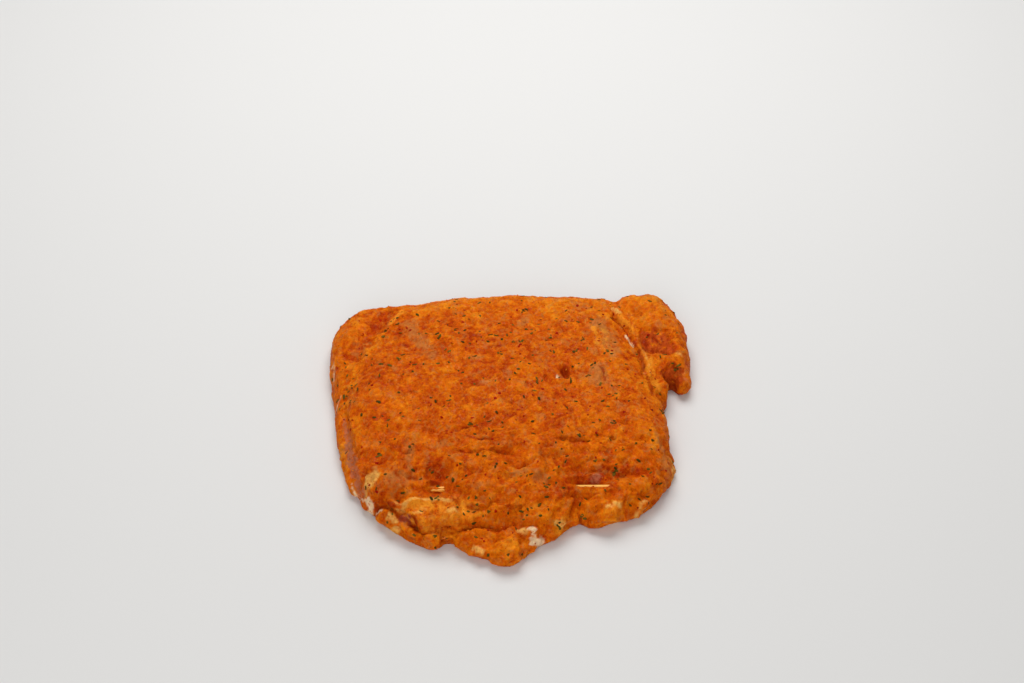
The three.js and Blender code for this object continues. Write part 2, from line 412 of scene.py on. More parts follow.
lipFat = [(-39.5, -49), (-34, -47.4), (-25, -46), (-17, -47.4), (-11.5, -51), (-11.4, -52.6), (-16, -56),
          (-20, -57.4), (-28, -57.6), (-34.6, -53.6)]
redFace = [(51.6, 43.4), (55, 44), (59.4, 42.8), (62.3, 38.6), (64, 33), (60.2, 32.4), (55.4, 34.8),
           (51.8, 35.8)]
lowRedFace = [(59, 23.6), (62.6, 26.4), (66.4, 25), (66.4, 21.2), (61, 20)]
discRim = [(32.6, 43.8), (32.9, 39), (33.6, 35.6)]
lens = [(31.4, 8.6), (30.6, 13), (31.6, 17.6), (33.4, 19), (34.8, 17), (35.2, 12.8), (34.8, 8.4)]
disc = [(33.6, 27), (33, 33), (34, 39), (36.6, 42), (39.4, 38), (40.6, 32), (39.6, 27), (36.8, 24.6)]
rollFold = [(50.8, 34.4), (55.3, 33.4), (60.4, 31.2), (64.6, 31.2), (67.6, 33.4)]


def meatSkin():
    # one closed skin over the faceted meat, with the stick's channel filled
    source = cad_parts["chicken"].data.copy()
    build = bmesh.new()
    build.from_mesh(source)
    bmesh.ops.remove_doubles(build, verts=build.verts, dist=0.01 * mm)
    low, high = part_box("stick")
    plug = Matrix.Translation((low + high) / 2) @ Matrix.Rotation(math.radians(90), 4, "Y")
    radius = meat["plug"] * mm
    bmesh.ops.create_cone(build, cap_ends=True, segments=16, radius1=radius, radius2=radius,
                          depth=(high.x - low.x) - 2 * mm, matrix=plug)
    for place, half in pocketFillers:
        size = Matrix.Diagonal([h * mm for h in half] + [1])
        bmesh.ops.create_icosphere(build, subdivisions=3, radius=1,
                                   matrix=Matrix.Translation(Vector(place) * mm) @ size)
    build.to_mesh(source)
    build.free()
    piece = newPiece("marinatedChicken", source, bpy.data.materials.new("unpainted"))
    remesh = piece.modifiers.new("skin", "REMESH")
    remesh.mode = "VOXEL"
    remesh.voxel_size = meat["voxel"] * mm
    settle = piece.modifiers.new("settle", "SMOOTH")
    settle.factor = 0.5
    settle.iterations = meat["settle"]
    finer = piece.modifiers.new("finer", "SUBSURF")
    finer.levels = 1
    applyAll(piece)
    return piece


def flattenBase(piece):
    # what rests is flat, and needs only its outline
    points = readPoints(piece.data)
    points[:, 2] = np.where(points[:, 2] < meat["rest"], 0, points[:, 2])
    writePoints(piece.data, points)
    build = bmesh.new()
    build.from_mesh(piece.data)
    resting = [f for f in build.faces if all(v.co.z == 0 for v in f.verts)]
    bmesh.ops.dissolve_faces(build, faces=resting)
    build.to_mesh(piece.data)
    build.free()


def sculpt(piece):
    points = readPoints(piece.data)
    normals = readNormals(piece.data)
    x, y, z = points.T
    up = soft(normals[:, 2], 0.1, 0.8)
    free = soft(z, 0.2, 2.5)  # nothing moves where the meat rests
    bent = points + drift(points, 7, 1) * 2.2 + drift(points, 2.4, 2) * 0.8
    rough = 1 - 0.6 * within(bent, lipFat, 1.5) - 0.5 * within(bent, disc, 1)

    front = soft(-y, 2, 22)
    rise = meat["swell"] + meat["slowSwells"] * lumps(points, 15, 3)
    rise += meat["dents"] * (1 + 0.9 * front) * rough * lumps(points, 6, 4, 2)

    broadFolds = 1 - np.abs(lumps(bent, (11, 7, 9), 14, 2)) * 2.4
    rise += meat["folds"] * (broadFolds - 0.5) * (0.2 + 0.8 * soft(-y, 6, 26)) * rough

    # smeared paste: low wavy ridges, drawn out left to right over the front
    long = 1 - np.abs(lumps(bent, (4.6, 3, 4.6), 11, 3)) * 2.2
    even = 1 - np.abs(lumps(bent, (3.6, 3.2, 3.6), 12, 3)) * 2.2
    smears = even + (long - even) * front * 0.6
    strength = 0.5 + 0.4 * front + 0.6 * spot(points, 0, -24, 40, 14)
    rise += meat["pasteSmears"] * (smears - 0.6) * strength * rough * (0.35 + 0.65 * up)

    # thicker patches of it, with an edge
    patches = soft(lumps(bent, 5.5, 13, 3), -0.05, 0.22)
    rise += meat["pastePatches"] * rough * (patches - 0.5)
    grains = pebbles(points, 1.4, 21) * soft(lumps(points, 5, 22), -0.3, 0.3)
    rise += meat["pasteGrains"] * (grains + 0.6 * lumps(bent, 1.3, 23, 2))

    # loose flaps and the rolled end are knobbly
    loose = soft(-y, 40, 50) * soft(12.5 - z, 0, 2.5)
    roll = soft(x, 46, 54) * soft(y, 12, 20)
    knobs = 2.6 * np.abs(lumps(bent, 7.5, 31)) - 0.55 + 0.15 * lumps(bent, 2.4, 32)
    rise += meat["knobs"] * knobs * np.maximum(loose, roll * 0.25)

    for depth, line, width in creases:
        rise -= depth * stripe(bent, line, width)
    for height, line, width in ridges:
        rise += height * stripe(bent, line, width)
    for height, oval in bulges:
        rise += height * spot(points, *oval)
    for depth, outline in faces:
        rise -= depth * within(bent * 0.3 + points * 0.7, outline, 0.5)

    points += normals * (rise * free)[:, None]
    frayed = meat["frays"] * lumps(points, 6.5, 33) * (1 - 0.6 * free) * soft(-y, 40, 48)
    points[:, :2] += normals[:, :2] * frayed[:, None]
    points[:, 2] = np.maximum(points[:, 2], 0)
    coverStick(points)
    openPockets(points)
    writePoints(piece.data, points)
    return patches, smears


creases = [  # depth in mm, line, half width
    (1.7, wingHollow, 3.2),
    (1.1, leftStep, 1.3),
    (2.6, wineCleft, 0.9),
    (1.8, lipLowEdge, 0.9),
    (2.3, humpCrease, 1.1),
    (1.8, tongueGap, 0.8),
    (1.0, pressedCrease, 0.9),
    (1.9, rollCrease, 0.9),
    (0.9, lensCrease, 0.6),
    (0.9, rollUpperRim, 0.8),
    (1.2, rollFold, 0.9),
] + [(0.8, line, 0.75) for line in longCreases]

ridges = [  # height in mm, line, half width
    (1.1, wingRidge, 1.7),
    (0.5, leftStepTop, 1.4),
    (0.7, lipRidge, 1.0),
    (0.4, lipSecondRidge, 0.7),
    (0.45, rollRidge, 1.4),
    (0.5, [(-5, -28.2), (0, -30), (4, -31.6), (9, -29)], 1.0),
    (0.4, discRim, 0.8),
]

faces = [  # depth in mm, outline of a cut face or a dimple
    (0.8, redFace),
    (0.9, lowRedFace),
    (0.3, disc),
    (-0.35, lens),
]

bulges = [  # height in mm, then x, y, half length, half width, turn
    (0.7, (-49, -38.6, 3.4, 2.4, 40)),
    (0.5, (-42, -52.6, 3, 1.4, -40)),
    (0.8, (-11.6, -65, 2.6, 1.4, -20)),
    (0.9, (0.5, -68, 3.4, 1.8, 20)),
    (0.8, (6.6, -60.4, 1.8, 1.3, 0)),
    (0.7, (8.2, -62.8, 1.6, 1.3, 0)),
    (0.7, (12, -60.6, 1.8, 1.0, 20)),
    (0.8, (36, -48, 2.4, 1.2, 0)),
    (0.7, (41.5, -47.6, 2.2, 1.1, 0)),
    (0.8, (46.4, -45.8, 1.8, 1.2, 30)),
    (0.5, (33, 12.6, 2.4, 4.8, 0)),
    (-3.2, (21, 14.8, 1.4, 3.3, 8)),
    (0.4, (18.4, 13, 0.9, 1.4, 20)),
    (0.9, (65.4, 31.4, 2, 1.6, 0)),
    (0.8, (57.6, 31.6, 2.4, 1.5, 0)),
    (-1.0, (61.8, 21.6, 1.8, 1.4, 0)),
    (0.9, (66.6, 20.4, 1.4, 1.4, 0)),
    (0.8, (56.8, 14.6, 1.4, 1.8, 0)),
    (0.8, (-3.3, -67.2, 1.6, 1.2, 0)),
    (0.8, (2.3, -68.1, 1.5, 1.2, 0)),
    (0.7, (29, -52.3, 1.6, 1.1, 20)),
    (0.7, (32.6, -51.4, 1.5, 1.0, 20)),
    (0.7, (37, -49.9, 1.6, 1.0, 20)),
    (0.6, (49.2, -44.5, 1.8, 1.2, 30)),
    (0.5, (-21, -54.4, 3.4, 2.2, 0)),
    (0.5, (-32, -53.2, 3.2, 1.8, 20)),
]


def coverStick(points):
    # the meat stays above the whole stick, until the pockets are opened
    low, high = (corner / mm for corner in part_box("stick"))
    axis = [(low.x, low.y + stick["radius"]), (high.x + meat["cover"], high.y - stick["radius"])]
    far = fromLine(points, axis)[0]
    cover = high.z + meat["cover"] - 0.35 * far ** 2
    upper = points[:, 2] > (low.z + high.z) / 2 - 1.5  # the base keeps its shape
    points[:, 2] = np.where(upper, np.maximum(points[:, 2], cover), points[:, 2])


def openPockets(points):
    # the meat draws back from the stick where it shows
    x, y = points[:, 0], points[:, 1]
    wander = lumps(points, 2.5, 41)
    for start, end, line, before, behind, gapBefore, gapBehind in bareStretches:
        middle, half = (start + end) / 2, (end - start) / 2
        across = (y - line) / np.where(y > line, gapBehind, gapBefore)
        reach = np.sqrt(((x - middle) / (half + 0.3)) ** 2 + across ** 2)
        floor = before + (behind - before) * soft(y, line - 1.1, line - 0.5)
        lid = floor + meat["pocket"] * soft(reach + 0.14 * wander, 0.95, 2.3)
        points[:, 2] = np.minimum(points[:, 2], lid)


def paintMeat(piece, patches, smears):
    # masks that the meat's material reads
    points = readPoints(piece.data)
    edge = lumps(points, 2.4, 51, 2)
    fine = lumps(points, 1.1, 52, 2)
    bent = points + drift(points, 5, 53) * 1.4 + drift(points, 1.8, 54) * 0.5
    halfBent = (points + bent) / 2
    for name, (ovals, lines, areas, raggedness, low, high) in masks.items():
        strength = np.zeros(len(points))
        for amount, oval in ovals:
            strength += amount * spot(bent, *oval)
        for amount, line, width in lines:
            strength += amount * stripe(halfBent, line, width)
        for amount, outline in areas:
            strength += amount * within(bent, outline, 1.2)
        strength += raggedness * (edge + 0.4 * fine) * soft(strength, 0.05, 0.3)
        paint(piece.data, name, soft(strength, low, high))
    x, y, z = points.T
    # painted light: the tone is lifted at the back edge of the top, where light from behind falls, at the
    # left side and a little at the right, as if more light fell there; at the front it is partly painted
    # light on the front faces and partly their paler, fattier colour
    lift = 1.7 * soft(y, 44, 66) * soft(z, 9.5, 13.5) + 0.8 * soft(-x, 54, 62)
    lift += 0.4 * soft(x, 0, 40) * soft(y, -30, 10)
    lift += 0.8 * soft(-y, 44, 54)
    # painted shade in hollows and recesses and painted light on rises, from the places and lines below
    for amount, oval in paintedLightAndShade:
        lift += amount * spot(bent, *oval)
    for amount, line, width in shadeLines:
        lift += amount * stripe(bent, line, width)
    paint(piece.data, "lift", lift)
    paint(piece.data, "wet", spot(points, *wetPatch))
    paint(piece.data, "thickPaste", patches)
    paint(piece.data, "smears", np.clip(smears, 0, 1))


wetPatch = (-26.6, -60.6, 3.4, 2.4)  # x, y, half length, half width

# painted light and painted shade: brighter places where more light falls and, with a minus, redder and
# darker places in painted shade, mostly in hollows, troughs and recesses: strength, then x, y, half length,
# half width, turn
paintedLightAndShade = [
    (-1.7, (41, -34.2, 15, 3.0, 4)),
    (-1.6, (30, -36, 7, 2.2, 0)),
    (-1.8, (-26, -34.5, 7, 3.6, 0)),
    (1.2, (5, -37, 11, 4, 0)),
    (0.9, (-6, -30, 8, 3, 0)),
    (1.3, (56, -24, 6, 14, 0)),
    (0.9, (38, -21, 14, 4, 0)),
    (0.9, (-60, -20, 6, 12, 0)),
    (0.9, (-3, -19, 4, 3, 0)),
    (1.0, (5, 48, 15, 5, 0)),
    (-0.9, (0, 29, 20, 8, 0)),
    (-0.9, (-44, 20, 8, 6, 0)),
    (-0.7, (-13, 13, 5, 5, 0)),
    (-0.9, (-28, -3, 7, 4, 0)),
    (1.2, (-36, -48.6, 6, 2.4, -20)),
    (-0.9, (-27, -55.6, 7, 2, 4)),
    (-1.0, (21, -44, 3.5, 6, 10)),
    (-1.0, (-4, -57, 12, 2, 4)),
    (-0.9, (-40, 32, 4, 3, 0)),
    (-0.8, (-16, -18, 8, 3, 8)),
    (-0.8, (16, -14, 6, 3, 0)),
    (-0.8, (-58, 30, 3, 8, 30)),
]

# painted shade along the wing's hollow, the hump's crease and the tongue's gap, and painted light along the
# wing's ridge
shadeLines = [  # strength, line, half width
    (-1.4, wingHollow, 3.4),
    (1.2, wingRidge, 1.8),
    (-1.2, humpCrease, 1.6),
    (-0.9, tongueGap, 1.5),
]

# each mask: ovals (strength, then x, y, half length, half width, turn and, on a side, z and half height),
# lines (strength, line, half width), areas (strength, outline), raggedness, and where it starts and is full
masks = {
    "greyFilm": ([
        (1.2, (-41.4, -40.6, 5.6, 3, 10)),
        (1.1, (-36.6, -30, 2, 7, 4)),
        (0.7, (-30.4, -38.4, 3, 2, 0)),
        (1.1, (-25.2, -24.2, 4, 1.7, 0)),
        (0.7, (-34, -16, 1.5, 9, 0)),
        (0.9, (-13.6, 23, 3, 1.6, 0)),
        (0.9, (33.5, 45, 3, 8, -24)),
        (1.1, (28, 58.4, 5, 2.2, -35)),
        (1.5, (2.7, -38.2, 3.4, 1.7, 0)),
        (1.5, (10.7, -39.1, 3.4, 2.1, 0)),
        (1.3, (5.6, 47.5, 2.2, 4.5, -20)),
        (0.6, (10, -28.2, 4, 1.8, 0)),
        (0.6, (37.6, 32, 4.4, 5.4, 0)),
        (0.7, (-58, 34, 4, 6, 20)),
        (0.6, (-9, -44, 5, 2, 0)),
        (1.0, (57, -25, 1.8, 9, 12)),
        (0.7, (39, 8, 3, 6, 0)),
        (0.6, (-8, 8, 5, 4, 0)),
        (0.5, (12, 22, 5, 6, 0)),
    ], [
        (0.9, filmStreak, 3.6),
        (0.8, rightFilm, 3.0),
    ], [
        (1.5, lens),
    ], 0.5, 0.25, 0.9),
    "fat": ([
        (1.2, (-49.4, -38.6, 3.4, 2.2, 40)),
        (0.7, (-42.4, -52, 3, 1.4, -40)),
        (0.7, (-33.5, -50.6, 5.6, 2.4, 8)),
        (0.5, (-23, -50.2, 6, 1.6, 0)),
        (0.8, (18.5, -55.6, 4, 3, 40)),
        (0.9, (37, -48.4, 4.2, 2, 8)),
        (0.9, (60.2, -24.4, 1.6, 6, 0)),
        (0.35, (0, -66, 6, 3, 0)),
        (0.9, (65.2, 31.4, 2.4, 1.6, 0)),
        (0.9, (57.4, 31.2, 3, 1.6, 0)),
        (0.8, (57, 13, 1.6, 4, 0)),
        (0.6, (9, -52, 4, 3, 0)),
    ], [
        (0.9, rollRidge, 1.5),
        (0.8, discRim, 1.0),
        (0.9, [(50.6, 38), (53, 30), (54.6, 22), (56.2, 12)], 1.9),
    ], [
        (0.66, lipFat),
        (0.5, disc),
    ], 0.35, 0.2, 0.95),
    # painted highlight: lit streaks on the wing's corner ridge, the back edge lit from behind, the roll's
    # rim and the disc's rim
    "brightEdge": ([], [
        (2.2, wingStreak, 1.1),
        (1.0, [(-40, 59.6), (-34, 62.4), (-26, 64.4), (-16, 66), (-6, 67)], 1.0),
        (0.9, [(41, 59.6), (43, 54), (46, 49.4), (49, 44)], 0.7),
        (0.8, discRim, 0.8),
    ], [], 0.75, 0.3, 0.9),
    "paleFat": ([
        (1.6, (-49.8, -38.4, 3.2, 1.9, 50)),
        (0.6, (-32.2, -52.6, 3.4, 1.6, 20)),
        (0.55, (-20.6, -54, 4, 1.8, 0)),
        (0.7, (66, 32, 1.6, 1, 0)),
    ], [
        (0.7, lipRidge, 0.8),
        (1.1, [(-44.8, -50.2), (-42.5, -51.9), (-39.4, -54.2)], 1.1),
        (1.0, flapCream, 0.9),
        (1.4, rollCream, 1.0),
        (1.1, [(15.9, -56.2, 9), (18.1, -55.9, 7.4), (20.3, -54.5, 4.6)], 1.5),
        (1.2, tonguePatch, 1.4),
        (0.3, tongueEdge, 0.7),
        (1.4, tongueCream, 1.4),
        (0.8, [(60.4, -21), (60.8, -25.3), (60, -28.8)], 0.9),
        (0.5, [(50, 40.6), (51.8, 34.1), (53.6, 27.2), (55, 20)], 0.6),
        (0.6, [(-59, -30.5, 2.3), (-57.3, -34.6, 3.3), (-55.2, -38.2, 4.3)], 0.7),
        (0.6, [(44.6, -48), (47.6, -45.6), (50.4, -43.4)], 0.8),
    ], [], 0.35, 0.2, 0.8),
    "rawFlesh": ([
        (1.5, (-37.4, -52.8, 2.2, 1.1, -40)),
        (1.1, (-70, 40, 2, 7, 0, 5, 4)),
        (1.3, (31.4, -36.8, 2.4, 0.9, 0)),
        (0.9, (19.4, 11.2, 1.6, 1, 30)),
        (0.9, (67.8, 21.6, 1, 1, 0)),
    ], [
        (0.8, leftStep, 1.1),
        (0.9, leftMauve, 1.3),
        (0.9, [(31.5, -51.8, 5.2), (33.3, -51.5, 3.9), (35.2, -50.5, 1.6)], 1.0),
    ], [], 0.55, 0.3, 0.8),
    "redMuscle": ([], [], [
        (1.0, redFace),
        (1.0, lowRedFace),
    ], 0.9, 0.35, 0.9),
    "sinew": ([
        (0.9, (18.5, 12.4, 0.6, 1.5, 20)),
    ], [
        (1.2, rimTendon, 0.6),
        (0.8, rimSinew, 0.4),
        (1.5, tongueTendon, 2.1),
        (1.5, tongueTendonTop, 1.6),
        (0.9, [(7.2, -64, 5.3), (7.6, -63, 5.6)], 0.8),
        (-1.2, tongueIsland, 0.7),
        (1.1, [(44.9, 43), (46.5, 39), (48.4, 35.2)], 0.7),
        (0.6, [(-68.9, 31), (-68.4, 27), (-67.6, 24), (-67, 18.6)], 0.7),
        (0.6, [(-64.2, 12), (-65, 8.8), (-66.3, 4.8)], 0.6),
        (0.6, [(-42.4, -56), (-39.4, -58)], 0.5),
    ], [], 0.3, 0.35, 0.85),
    # redder paste and painted shade in the creases, the hole, the recesses behind the stick and some dips
    "deepRed": ([
        (4.0, (21.3, 15.2, 1.2, 3, 8)),
        (1.0, (25.8, -50.4, 1.6, 1.2, -60)),
        (1.2, (28.6, -38.0, 4.6, 1.0, 0)),
        (1.2, (-26.4, -39.4, 2.6, 1.0, 0)),
        (0.5, (61.6, 20.4, 2.2, 1.2, 0)),
        (0.7, (-6, 31, 5, 1.6, 0)),
        (0.6, (-41, 43, 3, 1.4, 0)),
        (0.6, (-40, 32, 3, 2.4, 0)),
    ], [
        (0.8, rollCrease, 0.8),
        (0.5, pressedCrease, 0.8),
        (0.8, humpCrease[:4], 1.0),
        (1.3, wineCleft, 1.0),
        (0.7, lensCrease, 0.6),
        (0.6, lipLowEdge, 0.8),
    ] + [(0.7, line, 0.8) for line in longCreases], [], 0.3, 0.35, 0.85),
}


def meatLook():
    look = Look("marinatedMeat")
    hues = meat["colours"]
    place = look.node("ShaderNodeMapping", {}, {"Vector": look.place(), "Scale": (1, 0.78, 1)})
    broad = look.grain(place, 16, 2)
    mottle = look.grain(place, 4.4, 5, 0.8, 0.6)
    grain = look.grain(place, 1.1, 3, 0.4, 0.65)
    strokes = look.threads(place, 3.6, 4, 1.6, 0.07)
    rims = look.threads(place, 1.9, 3, 1.2, 0.055)

    # the paste: deeper or paler orange, with redder, yellower and nearly bare places
    # the 'lift' mask adds painted light and painted shade to the tone
    tone = (broad - 0.5) * 0.4 + (mottle - 0.5) * 0.75 + (grain - 0.5) * 0.8 + look.painted("lift") * 0.16
    # the smears' ridges are painted lighter and their hollows darker, and the strokes and rims paint
    # lighter lines along the bump's ridges: painted light and shade on the relief
    tone = tone + (look.painted("thickPaste") - 0.5) * 0.22 + (look.painted("smears") - 0.5) * 0.3
    tone = tone + strokes * 0.1 + rims * 0.13 + 0.465
    colour = look.node("ShaderNodeValToRGB", {"stops": hues["orange"]}, {"Fac": tone})
    redder = look.ramp(look.grain(place, 3.4, 5, 1.0, 0.65), 0.53, 0.61)
    colour = look.blend(redder * 0.22, colour, hues["redder"])
    yellower = look.ramp(look.grain(place, 2.6, 5, 1.2, 0.65), 0.53, 0.63)
    colour = look.blend(yellower * 0.32, colour, hues["yellower"])
    bare = look.ramp(look.grain(place, 3.0, 5, 0.8, 0.7), 0.52, 0.64)
    colour = look.blend(bare * 0.5, colour, hues["bare"])

    # what shows through it: film over the muscle, fat, raw flesh and sinew
    drawn = look.node("ShaderNodeMapping", {}, {"Vector": place, "Scale": (1, 0.3, 1)})
    fibres = look.grain(drawn, 1.5, 3, 0.6)
    film = look.painted("greyFilm") * look.ramp(fibres * 0.6 + mottle * 0.4, 0.34, 0.56)
    colour = look.blend(film * 0.85, colour, look.blend(mottle, *hues["film"]))
    fat = look.painted("fat") * look.ramp(grain * 0.4 + mottle * 0.6, 0.36, 0.6)
    colour = look.blend(fat * 0.85, colour, look.blend(mottle, *hues["fat"]))
    # painted highlight along edges that catch the light
    colour = look.blend(look.painted("brightEdge") * 0.85, colour, hues["brightEdge"])
    paleFat = look.painted("paleFat") * look.ramp(grain, 0.2, 0.6)
    colour = look.blend(paleFat * 0.8, colour, hues["paleFat"])
    flesh = look.painted("rawFlesh") * look.ramp(grain, 0.3, 0.55)
    colour = look.blend(flesh * 0.9, colour, look.blend(mottle, *hues["rawFlesh"]))
    muscle = look.blend(look.ramp(fibres, 0.3, 0.7), *hues["redMuscle"])
    colour = look.blend(look.painted("redMuscle") * 0.85, colour, muscle)
    colour = look.blend(look.painted("sinew") * 0.9, colour, hues["sinew"])
    # redder paste and painted shade in creases, the hole and recesses
    colour = look.blend(look.painted("deepRed") * 0.75, colour, hues["deepRed"])
    specks = look.ramp(look.grain(place, 0.9, 1), 0.68, 0.74)
    colour = look.blend(specks * 0.5, colour, hues["specks"])

    wet = look.ramp(look.grain(place, 2.0, 3), 0.52, 0.66) * (look.painted("wet") * 0.8 + 0.05)
    relief = look.bump(mottle + strokes * 0.25, 0.7, 0.7)
    relief = look.bump(grain + rims * 0.3, 0.42, 0.9, under=relief)
    relief = look.bump(look.grain(place, 0.45, 2), 0.14, 0.8, under=relief)
    look.shader.inputs["Specular IOR Level"].default_value = 0.03
    look.shader.inputs["Subsurface Weight"].default_value = 0.06
    look.shader.inputs["Subsurface Radius"].default_value = (1.0, 0.35, 0.12)
    look.shader.inputs["Subsurface Scale"].default_value = 1.2 * mm
    look.shader.inputs["Coat Roughness"].default_value = 0.12
    return look.finish(BaseColor=colour, Roughness=0.5 - wet * 0.15, CoatWeight=wet, Normal=relief)


# ---- the wooden stick

stick = {
    "radius": 1.1,  # mm
    "taper": 9,  # mm, the length of each pointed end
    "point": 0.33,  # mm, the radius left at the tips
    "knobble": 0.05,  # share of the radius
    "sides": 28,
    "rings": 90,
    "wood": [(248, 164, 22), (255, 210, 88)],
    "stain": (244, 138, 8),
}


def stickMesh():
    low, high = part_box("stick")
    length = (high.x - low.x) / mm
    across = 2 * stick["radius"] * 0.98  # what the faceted stick takes of its box
    slope = math.asin(((high.y - low.y) / mm - across) / length)
    middle = (low + high) / 2 / mm
    points, faces = [], []
    for ring in range(stick["rings"] + 1):
        along = (ring / stick["rings"] - 0.5) * length
        near = min(length / 2 - abs(along), stick["taper"]) / stick["taper"]
        radius = stick["point"] + (stick["radius"] - stick["point"]) * near
        for side in range(stick["sides"]):
            angle = side / stick["sides"] * math.tau
            where = Vector((along * 0.06, math.cos(angle) * 2.4, math.sin(angle) * 2.4))
            r = radius * (1 + stick["knobble"] * noise.noise(where))
            points.append((along, r * math.cos(angle), r * math.sin(angle)))
    sides = stick["sides"]
    for ring in range(stick["rings"]):
        for side in range(sides):
            a, b = ring * sides + side, ring * sides + (side + 1) % sides
            faces.append((a, b, b + sides, a + sides))
    faces.append(tuple(reversed(range(sides))))
    faces.append(tuple(range(stick["rings"] * sides, (stick["rings"] + 1) * sides)))
    mesh = bpy.data.meshes.new("woodenStick")
    mesh.from_pydata(points, [], faces)
    mesh.transform(Matrix.Diagonal((mm, mm, mm, 1)))
    mesh.transform(Matrix.Translation(middle * mm) @ Matrix.Rotation(slope, 4, "Z"))
    mesh.update()
    return mesh


def stickLook():
    look = Look("stickWood")
    place = look.place()
    stretched = look.node("ShaderNodeMapping", {}, {"Vector": place, "Scale": (0.08, 1, 1)})
    fibres = look.grain(stretched, 0.25, 3)
    stain = look.grain(place, 3.5, 2)
    wood = look.blend(fibres, *stick["wood"])
    colour = look.blend(look.ramp(stain, 0.4, 0.65) * 0.5, wood, stick["stain"])
    relief = look.bump(fibres, 0.08, 0.5)
    return look.finish(BaseColor=colour, Roughness=0.6 - stain * 0.25, Normal=relief)


# ---- flakes and grains in the marinade

# sizes in mm; lift is how far a flake's middle sits above the meat
herbs = {
    "count": 270,
    "clusters": 36,
    "long": (1.0, 2.6),
    "wide": (0.6, 1.2),
    "thick": 0.1,
    "lift": 0.06,
    "roughness": 0.6,
    "colours": [(0.0, (54, 44, 8)), (0.5, (84, 68, 16)), (1.0, (124, 98, 30))],
}
chilli = {
    "count": 90,
    "clusters": 0,
    "long": (0.8, 1.8),
    "wide": (0.7, 1.4),
    "thick": 0.12,
    "lift": 0.02,
    "roughness": 0.4,
    "colours": [(0.0, (132, 6, 0)), (0.6, (164, 20, 0)), (1.0, (186, 38, 4))],
}
grit = {
    "count": 600,
    "size": (0.15, 0.35),
    "roughness": 0.5,
    "colours": [(0.0, (150, 40, 2)), (0.5, (214, 104, 12)), (1.0, (238, 144, 42))],
}

# where the larger flakes lie, x and y in mm
largeHerbs = [
    (-44, 47), (-63.5, 27), (-41, 25), (-49.5, 20), (-45.5, 18.5), (-37, 14.5), (-62, 19.5),
    (-59.5, 17.5), (-53, 10), (-28, 46), (-11.5, 49.5), (-12, 59), (-36, 52), (-24.5, 28), (-23, 27),
    (-27.5, 20), (-23, 20.5), (-7.5, 37.5), (-5.5, 37), (-10, 11), (-33, -11.5), (-45, -14),
    (-14, -14.5), (-57.5, 8.5), (-63, 10), (1, 22.5), (4, 19.5), (2, 13), (0, 9.5), (15.5, 27),
    (17, 26), (28, 33.5), (24.5, 27), (30, 29), (21, 4.5), (23, 10), (34.5, -1.5), (31, -13.5),
    (-4.5, -8.5), (-12, -15), (-7.5, -17), (-6, -18), (19.5, -19.5), (29, -21.5), (31.5, -30.5),
    (-9.5, -30.5), (-5.5, 9), (9.5, 3), (5.5, 0.5), (11, -1), (16, -9), (9, -19), (19, -27),
    (-15.5, -38.5), (-17, -40.5), (6.5, -40.5), (8, -40), (-19, -49.5), (-16.5, -53.5), (-14.5, -52),
    (27.5, -44.5), (25.5, -46.5), (33, -39), (34.5, -42.5), (55, -36.5), (14, -53.5), (11, -56),
    (4, -53), (-0.5, -70), (47, -29.5), (50.5, -32.5), (38, -34.5), (26, -49.5), (27, -50.5),
    (-12.5, -55.5), (-47, -28), (-48, -28.5), (-47, -8), (-29, -34), (-28, -34.5), (-32.5, -38),
    (-35, -35.5), (-22.5, -36.5), (-20.5, -39.5), (-38.5, -44.5), (-28, -46.5), (-31.5, -52.5),
    (-42.5, -48.5), (-34, -60), (32.5, 57.5), (35, 54.5), (32, 48), (22, 45.5), (27, 45.5), (15, 41),
    (58, 42.5), (60, 32.5), (58.5, 30), (43.5, 57.5), (37.5, 2),
]
largeChilli = [
    (-17.6, 53.7), (-18.6, 45.8), (-57.3, 43.1), (-22.2, 30.9), (-21.2, 39.6), (18.4, 38),
    (34.6, 34.2), (36.7, 51.9), (34.8, 5.6), (3.2, -6.5), (5, -10.2), (-5.4, -0.7), (20.7, -4.3),
    (23.8, 0.5), (30, -5), (50.9, 2.7), (-3.6, 1.9), (-10.3, 34.2), (45, 24.4), (26.6, 57.8),
    (4.4, 30.7), (-25, -10.7), (-29.6, -3.9), (-38.8, 42.2), (-51.9, 8.6), (-48.5, -31.3),
    (-54.2, -22.2), (8.7, -15.8), (-12.7, -15.6), (17.3, -3.3), (53.3, -2.6), (-23, -18),
]


